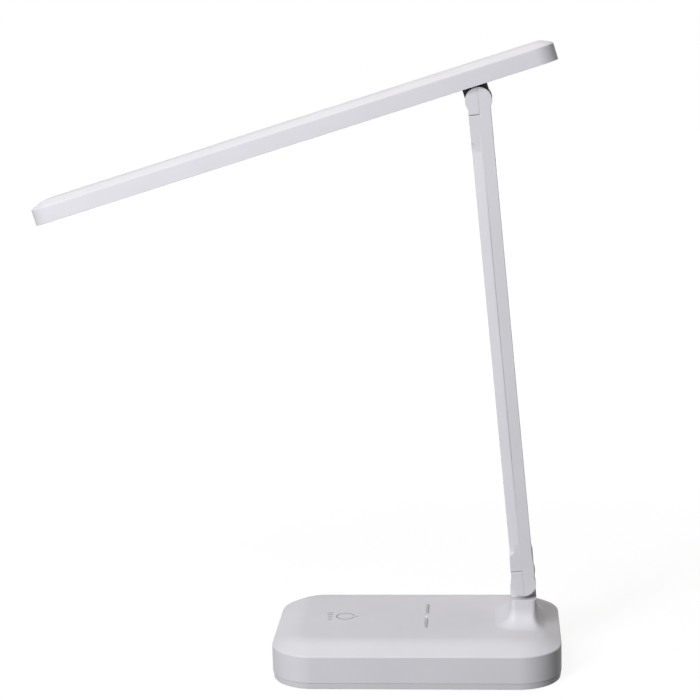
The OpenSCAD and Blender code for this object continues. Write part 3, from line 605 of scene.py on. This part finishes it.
def neck_and_flare():
    """The neck as one loft: its outline is drawn down ring by ring and curves out into the base."""
    piece = round_sheet("neck", NECK_T, NECK_W, NECK_EDGE, NECK_H, 10, (LOWER_HINGE.x, 0))
    with editing(piece):
        # more points along the straight sides, so that the foot can follow the rim
        pick(piece, "EDGE", lambda edge: edge.calc_length() > NECK_EDGE)
        bpy.ops.mesh.subdivide(number_cuts=12)
    with editing(piece):
        bpy.ops.mesh.select_mode(type="FACE")
        bpy.ops.mesh.select_all(action="SELECT")
        for ring in range(FLARE_RINGS + 2):
            bpy.ops.mesh.extrude_region_move()
            shape = bmesh.from_edit_mesh(piece.data)
            for corner in [v for v in shape.verts if v.select]:
                corner.co = on_flare(corner.co, ring)
            bmesh.update_edit_mesh(piece.data)
        turn_outward()
        soften(piece, level_edges(NECK_H), NECK_SOFT, 3)
    return piece


def tongue():
    """The upright tongue that carries the lower hinge: sides that draw in to a round top."""
    half, axis, steep, edge_soft = NECK_T / 2, LOWER_HINGE, math.radians(60), 0.4 * MM
    piece = bar("tongue", (axis.x - half, -TONGUE_W / 2, NECK_H - TONGUE_SINK),
        (axis.x + half, TONGUE_W / 2, axis.z))
    with editing(piece):
        pick(piece, "VERT", lambda v: v.co.z > NECK_H)
        bpy.ops.transform.resize(value=(TONGUE_R / half, 1, 1), center_override=axis)
    combine(piece, rod("tongue_top", TONGUE_R, (axis.x, -TONGUE_W / 2, axis.z),
        (axis.x, TONGUE_W / 2, axis.z), sides=96), "UNION")
    with editing(piece):
        soften(piece, lambda edge: edge.calc_face_angle(0) > steep
            and all(v.co.z > NECK_H for v in edge.verts), edge_soft, 2)
    return piece


def neck_ways(piece):
    """Cuts the shaft up the neck, the lead's way and slot, and the hinge bore."""
    x, z, overlap = LOWER_HINGE.x, LOWER_HINGE.z, 2 * MM
    shaft = round_sheet("shaft", NECK_T - 2 * SHAFT_WALL, NECK_W - 2 * SHAFT_WALL, SHAFT_R, SIDE_H, 4,
        (x, 0))
    with editing(shaft):
        thicken(NECK_H - NECK_CAP - SIDE_H)
    combine(piece, shaft, "DIFFERENCE")
    combine(piece, rod("lead_way", LEAD_HOLE_R, (x, 0, NECK_H - NECK_CAP - overlap), (x, 0, z), sides=24),
        "DIFFERENCE")
    combine(piece, bar("slot", (x - NECK_T, -LEAD_SLOT_W / 2, z - LEAD_SLOT_LOW),
        (x + NECK_T, LEAD_SLOT_W / 2, z + NECK_T)), "DIFFERENCE")
    combine(piece, rod("bore", PIN_BORE_R, (x, -TONGUE_W, z), (x, TONGUE_W, z)), "DIFFERENCE")


def socket_mouth(piece):
    """Cuts the rounded opening for the USB socket through the rear wall."""
    low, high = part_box("usb_socket")
    gap, corner, reach = 0.3 * MM, 1.6 * MM, 4 * MM
    port = round_sheet("port", high.x - low.x + 2 * gap, high.z - low.z + 2 * gap, corner, 0, 8)
    with editing(port):
        thicken(2 * reach)
    place(port, Matrix.Translation(((low.x + high.x) / 2, BASE_W / 2 + reach, (low.z + high.z) / 2))
        @ Matrix.Rotation(math.pi / 2, 4, "X"))
    combine(piece, port, "DIFFERENCE")


def base_shell():
    """Housing: one moulding with the side wall, sloping rim, top, flared neck and tongue."""
    piece = rim_block("base_shell", BASE_L, BASE_W, BASE_R, SIDE_LOW, SIDE_H, RIM_RISE, RIM_IN, 24)
    with editing(piece):
        soften(piece, level_edges(TOP_H), TOP_SOFT, 8)
        soften(piece, level_edges(SIDE_H), RIM_SOFT, 4)
        soften(piece, level_edges(SIDE_LOW), FOOT_SOFT, 2)
    combine(piece, neck_and_flare(), "UNION")
    combine(piece, tongue(), "UNION")
    clear, past, way_l, walls = 0.05 * MM, 1 * MM, 4 * MM, 2 * BASE_WALL
    hollow = rim_block("hollow", BASE_L - walls, BASE_W - walls, BASE_R - BASE_WALL, -past,
        SIDE_H - BASE_WALL, RIM_RISE, RIM_IN)
    combine(piece, hollow, "DIFFERENCE")
    neck_ways(piece)
    socket_mouth(piece)
    for side in (-1, 1):
        combine(piece, rib_block("pocket", side, clear, past), "DIFFERENCE")
    combine(piece, rod("lens_way", LENS_R + clear, (RIB_X, 0, TOP_H - way_l), (RIB_X, 0, TOP_H + past),
        sides=32), "DIFFERENCE")
    install(piece, "base", "white_abs", "base_housing", "hinge_neck")


def rib_block(name, side, grow, above):
    """One rest rib, or with growth the pocket that it sits in."""
    low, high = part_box("rest_ribs")
    width = high.x - low.x
    near, far = RIB_NEAR, high.y
    piece = round_sheet(name, width + 2 * grow, far - near + 2 * grow, width / 2 + grow - SLIVER,
        low.z, 6, ((low.x + high.x) / 2, side * (near + far) / 2))
    with editing(piece):
        thicken(high.z - low.z + above)
        if not grow:
            soften(piece, level_edges(high.z), RIB_SOFT, 4)
    return piece


def rest_ribs():
    """Two soft ribs across the middle, raised and rounded."""
    for side, name in ((-1, "rest_rib_front"), (1, "rest_rib_rear")):
        install(rib_block(name, side, 0, 0), "base", "rib_soft", "rest_ribs")


def indicator():
    """The end of the light guide: a small polished dome between the ribs."""
    low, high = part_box("indicator_lens")
    proud, collar_t, under = 0.15 * MM, 1 * MM, TOP_H - BASE_WALL
    top = high.z + proud
    piece = rod("indicator_dome", LENS_R, (RIB_X, 0, low.z), (RIB_X, 0, top), sides=32)
    with editing(piece):
        soften(piece, level_edges(top), RIB_SOFT, 5)
    collar = rod("collar", 2 * LENS_R, (RIB_X, 0, under - collar_t), (RIB_X, 0, under), sides=32)
    combine(piece, collar, "UNION")
    install(piece, "base", "lens_clear", "indicator_lens")


def key_symbol():
    """Printed power symbol: an open ring with a short stroke through its gap."""
    ring_r, line = 6.0 * MM, 0.8 * MM
    stroke_l, stroke_out = 2.6 * MM, 0.9 * MM
    gap = math.radians(15)
    deselect()
    bpy.ops.mesh.primitive_circle_add(vertices=96, radius=ring_r, fill_type="NGON",
        location=(KEY_X, 0, TOP_H - INK_SINK))
    piece = bpy.context.object
    piece.name = "key_ring_print"
    bpy.ops.object.transform_apply(location=True, rotation=True, scale=True)
    with editing(piece):
        bpy.ops.mesh.inset(thickness=line)
        bpy.ops.mesh.delete(type="FACE")
        pick(piece, "FACE", lambda f: abs(math.atan2(f.calc_center_median().y,
            f.calc_center_median().x - KEY_X)) < gap)
        bpy.ops.mesh.delete(type="FACE")
        bpy.ops.mesh.select_all(action="SELECT")
        thicken(INK_T)
    print_piece(piece)
    stroke = round_sheet("key_stroke_print", stroke_l, line, line / 2 - SLIVER, TOP_H - INK_SINK, 4,
        (KEY_X + ring_r + stroke_out, 0))
    with editing(stroke):
        thicken(INK_T)
    print_piece(stroke)


def print_piece(piece):
    """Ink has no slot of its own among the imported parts, so it shares the grey ribs' slot."""
    install(piece, "base", "rib_soft", finish="print")


def dimming_scale():
    """Printed scale beside the key: bars that grow from dim to bright."""
    count, span, wide, off_key = 5, 13 * MM, 0.9 * MM, 8.2 * MM
    shortest, growth = 2.4 * MM, 0.4 * MM
    for i in range(count):
        length = shortest + growth * i
        y = -span / 2 + span * i / (count - 1)
        mark = round_sheet(f"dimming_bar_{i + 1}", length, wide, wide / 2 - SLIVER, TOP_H - INK_SINK, 4,
            (KEY_X - off_key - length / 2, y))
        with editing(mark):
            thicken(INK_T)
        print_piece(mark)


def bottom_plate():
    """Bottom plate, its rim drawn in a little towards the table, seen as a band under the housing."""
    piece = copy_node("bottom_plate", "bottom_plate_shell")
    low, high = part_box("bottom_plate")
    inset = BASE_L / 2 - high.x
    rim_top, lift, draw = 3.8 * MM, 0.3 * MM, 0.5 * MM
    foot_soft, lip_soft = 0.35 * MM, 0.15 * MM

    def on_rim(edge):
        return all(abs(base_inset(v.co.x, v.co.y)[0] - inset) < PICK for v in edge.verts)

    with editing(piece):
        shape = bmesh.from_edit_mesh(piece.data)
        rim = {v for edge in shape.edges if on_rim(edge) for v in edge.verts}
        for corner in rim:
            if abs(corner.co.z - rim_top) < LEVEL:
                corner.co.z += lift
            else:
                way = base_inset(corner.co.x, corner.co.y)[1]
                corner.co -= Vector((way.x, way.y, 0)) * draw
        bmesh.update_edit_mesh(piece.data)
        soften(piece, level_corners(low.z), foot_soft, 3)
        soften(piece, lambda edge: level_edges(rim_top + lift)(edge) and on_rim(edge), lip_soft, 2)
    install(piece, "base", "white_abs", "bottom_plate")


def mat():
    """Anti-slip mat with a soft edge and a moulded border groove."""
    low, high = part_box("anti_slip_mat")
    length, width = high.x - low.x, high.y - low.y
    corner, border, groove, deep = 22 * MM, 3 * MM, 0.8 * MM, 0.4 * MM
    piece = round_sheet("anti_slip_sheet", length, width, corner, high.z)
    with editing(piece):
        raise_faces(low.z - high.z)
        bpy.ops.mesh.inset(thickness=border, depth=0)
        bpy.ops.mesh.inset(thickness=groove, depth=deep)
        bpy.ops.mesh.inset(thickness=groove, depth=-deep)
        turn_outward()
        soften(piece, level_corners(low.z), FOOT_SOFT, 2)
    install(piece, "base", "mat_silicone", "anti_slip_mat")


# ---- arm ----

HALF_SIDE = math.sqrt(0.5)      # of a square bar that reaches one each way once it stands on its edge


def diamond(name, low, high, axis, stretch):
    """A square bar turned on its edge, which cuts a V groove as deep and wide as it is stretched."""
    cutter = bar(name, low, high)
    place(cutter, Matrix.Rotation(math.radians(45), 4, axis))
    place(cutter, Matrix.Diagonal((*stretch, 1)))
    return cutter


def seam_cutter(y, z):
    """Cutter for a short seam across the cover, its lower flank turned up to the light."""
    cutter = diamond("seam", (-2 * ARM_HALF, -HALF_SIDE, -HALF_SIDE), (0, HALF_SIDE, HALF_SIDE), "X",
        (1, SEAM_DEEP, SEAM_W / 2))
    place(cutter, Matrix.Translation((0, y, z)))
    return cutter


def parting_cutter(y):
    """Cutter for the long line between the arm's halves, which fades at both ends."""
    low, high, fade, thin = 0.27 * ARM_L, 0.72 * ARM_L, 0.13 * ARM_L, 0.1
    cutter = diamond("parting", (-HALF_SIDE, -HALF_SIDE, low), (HALF_SIDE, HALF_SIDE, high), "Z",
        (PARTING_W / 2, PARTING_DEEP, 1))
    with editing(cutter):
        for z, way in ((low, -fade), (high, fade)):
            pick(cutter, "FACE", lambda face: abs(face.calc_center_median().z - z) < LEVEL)
            raise_faces(way)
            bpy.ops.transform.resize(value=(thin, thin, 1))
        turn_outward()
    place(cutter, Matrix.Translation((0, y, 0)))
    return cutter


def arm_piece(node, name, outer_radius, seams, parted):
    """An arm moulding with a small radius on its edges, a larger one down its outer corners,
    and its side of the fine grooves where it meets its neighbours."""
    piece = copy_node(node, name)
    place(piece, ARM_FRAME.inverted())
    half_w, shortest = NECK_W / 2, 1 * MM

    def outer_corner(edge):
        return all(abs(abs(v.co.y) - half_w) < PICK and v.co.x > ARM_HALF - PICK
            for v in edge.verts) and edge.calc_length() > shortest

    if outer_radius:
        with editing(piece):
            soften(piece, outer_corner, outer_radius, 4)
    ease_edges(piece, ARM_EDGE, steps=3, angle=30)
    for z in seams:
        for y in (-half_w, half_w):
            combine(piece, seam_cutter(y, z), "DIFFERENCE")
    if parted:
        for y in (-half_w, half_w):
            combine(piece, parting_cutter(y), "DIFFERENCE")
    place(piece, ARM_FRAME)
    return piece


def arm():
    """The arm's mouldings: its back, its cover and the ear covers at both ends."""
    low, high = EAR_SEAM, ARM_L - EAR_SEAM
    for node, name, corner, seams, parted in (
            ("arm_back_shell", "arm_back", ARM_CORNER, (), False),
            ("arm_front_cover", "arm_cover", 0, (low, high), True),
            ("lower_ear_caps", "lower_ear_covers", 0, (low,), False),
            ("upper_ear_caps", "upper_ear_covers", 0, (high,), False)):
        install(arm_piece(node, name, corner, seams, parted), "arm", "white_abs", node)


# ---- head ----

def head_cover():
    """The head's upper moulding: upright side, crisp edge and a sloping border round a flat top."""
    middle = ((HEAD_NEAR - HEAD_FAR) / 2, 0)
    length = HEAD_FAR + HEAD_NEAR
    side = HEAD_DROP + HEAD_SIDE
    crease, edge, foot = 1.6 * MM, 0.5 * MM, 0.2 * MM
    piece = rim_block("head_shell", length, HEAD_W, HEAD_R, HEAD_DROP, side, HEAD_RISE, HEAD_IN, 20, middle)
    with editing(piece):
        soften(piece, level_edges(side + HEAD_RISE), crease, 5)
        soften(piece, level_edges(side), edge, 3)
        soften(piece, level_edges(HEAD_DROP), foot, 2)
    walls, past = 2 * HEAD_WALL, 1 * MM
    hollow = rim_block("hollow", length - walls, HEAD_W - walls, HEAD_R - HEAD_WALL, HEAD_DROP - past,
        side - HEAD_WALL, HEAD_RISE, HEAD_IN, 12, middle)
    combine(piece, hollow, "DIFFERENCE")
    place(piece, HEAD_FRAME)
    install(piece, "head", "white_abs", "head_cover")


def head_piece(node, name, slot, radius):
    """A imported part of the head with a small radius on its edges."""
    piece = copy_node(node, name)
    ease_edges(piece, radius, steps=2, angle=38)
    install(piece, "head", slot, node)


def head():
    """The head's cover, frame, diffuser and bracket."""
    head_cover()
    head_piece("head_frame", "head_underframe", "white_abs", 0.2 * MM)
    head_piece("diffuser", "diffuser_plate", "diffuser_pc", 0.25 * MM)
    head_piece("head_bracket", "hinge_bracket", "black_pom", 0.35 * MM)


# ---- stage, light and camera ----

FLOOR_SPAN = 8              # metres
FLOOR_DROP = 0.2 * MM
SHADE_NEAR, SHADE_FAR = 0.2, 0.9    # metres from the lamp between which the shadow fades out
SHADE_WHITE = 0.84          # share of its own white close to the lamp, where shadows fall
FLOOR_GLOW = 1.06           # strength of that white


def seen_rays(tree):
    """One for rays that show the background: straight, mirrored or through glass."""
    ray = tree.nodes.new("ShaderNodeLightPath")
    most = {"operation": "MAXIMUM"}
    either = node_in(tree, "ShaderNodeMath", most, _0=ray.outputs["Is Camera Ray"],
        _1=ray.outputs["Is Glossy Ray"])
    return node_in(tree, "ShaderNodeMath", most, _0=either.outputs[0],
        _1=ray.outputs["Is Transmission Ray"]).outputs[0]


def stage():
    """A pale floor that shows as white and keeps a soft shadow."""
    deselect()
    bpy.ops.mesh.primitive_plane_add(size=FLOOR_SPAN, location=(0, 0, -FLOOR_DROP))
    floor = bpy.context.object
    floor.name = "floor"
    material = bpy.data.materials.new("white_floor")
    material.use_nodes = True
    tree = material.node_tree
    tree.nodes.clear()
    seen = seen_rays(tree)
    place_of = tree.nodes.new("ShaderNodeTexCoord").outputs["Object"]
    away = node_in(tree, "ShaderNodeVectorMath", {"operation": "LENGTH"}, _0=place_of)
    own = node_in(tree, "ShaderNodeMapRange", Value=away.outputs["Value"], From_Min=SHADE_NEAR,
        From_Max=SHADE_FAR, To_Min=SHADE_WHITE, To_Max=1.0)
    share = node_in(tree, "ShaderNodeMath", {"operation": "MULTIPLY"}, _0=seen,
        _1=own.outputs["Result"])
    # inputs 6 and 7 of the mix node are its two colours, and output 2 is their blend
    tone = node_in(tree, "ShaderNodeMix", {"data_type": "RGBA"}, _0=seen, _6=linear("#6e6c6a"),
        _7=linear("#fafafa"))
    matt = node_in(tree, "ShaderNodeBsdfDiffuse", Color=tone.outputs[2])
    white = node_in(tree, "ShaderNodeEmission", Color=(1, 1, 1, 1), Strength=FLOOR_GLOW)
    mixed = node_in(tree, "ShaderNodeMixShader", _0=share.outputs[0], _1=matt.outputs[0],
        _2=white.outputs[0])
    out = tree.nodes.new("ShaderNodeOutputMaterial")
    tree.links.new(mixed.outputs[0], out.inputs["Surface"])
    floor.data.materials.append(material)


def surroundings():
    """White to the eye and in reflections, and a weak warm fill for the object."""
    world = bpy.data.worlds.new("studio")
    bpy.context.scene.world = world
    world.use_nodes = True
    tree = world.node_tree
    tree.nodes.clear()
    seen = seen_rays(tree)
    fill = node_in(tree, "ShaderNodeBackground", Color=(1.0, 0.95, 0.9, 1), Strength=0.01)
    white = node_in(tree, "ShaderNodeBackground", Color=(1, 1, 1, 1), Strength=1.0)
    mixed = node_in(tree, "ShaderNodeMixShader", _0=seen, _1=fill.outputs[0], _2=white.outputs[0])
    out = tree.nodes.new("ShaderNodeOutputWorld")
    tree.links.new(mixed.outputs[0], out.inputs["Surface"])


def softbox(name, place_at, aim, size, watts, colour):
    """A rectangular light at one point, turned towards another."""
    lamp = bpy.data.lights.new(name, "AREA")
    lamp.shape = "RECTANGLE"
    lamp.size, lamp.size_y = size
    lamp.energy = watts
    lamp.color = colour
    holder = bpy.data.objects.new(name, lamp)
    bpy.context.scene.collection.objects.link(holder)
    holder.location = place_at
    holder.rotation_euler = (Vector(aim) - Vector(place_at)).to_track_quat("-Z", "Y").to_euler()


COOL = (0.975, 0.98, 1.0)
WARM = (1.0, 0.96, 0.9)


def lights():
    """Two cool softboxes in front on the left, and two warm ones above, behind and to the right."""
    aim = (-0.03, 0, 0.2)
    softbox("key_softbox", (-0.97, -2.01, 2.29), aim, (1.0, 1.0), 40, COOL)
    softbox("near_softbox", (-0.58, -1.0, 0.56), aim, (0.3, 0.3), 8.6, COOL)
    softbox("rear_softbox", (-0.26, 0.77, 1.83), aim, (1.3, 1.3), 6.6, WARM)
    softbox("right_softbox", (0.7, 0.1, 2.1), aim, (1.0, 1.0), 7.4, WARM)


LENS_MM = 96.4
EYE = (0.04998, -1.13987, 0.42491)
YAW, PITCH, ROLL = 0.078, 0.19347, -0.025


def camera():
    """A long lens in front of the lamp, a little above its middle."""
    data = bpy.data.cameras.new("camera")
    data.sensor_width = 36
    data.lens = LENS_MM
    holder = bpy.data.objects.new("camera", data)
    bpy.context.scene.collection.objects.link(holder)
    holder.matrix_world = (Matrix.Translation(EYE) @ Matrix.Rotation(YAW, 4, "Z")
        @ Matrix.Rotation(math.pi / 2 - PITCH, 4, "X") @ Matrix.Rotation(ROLL, 4, "Z"))
    bpy.context.scene.camera = holder


camera()
stage()
surroundings()
lights()
finish_packed_parts()
base_shell()
rest_ribs()
indicator()
key_symbol()
dimming_scale()
bottom_plate()
mat()
arm()
head()

bpy.context.scene.view_settings.view_transform = "Standard"
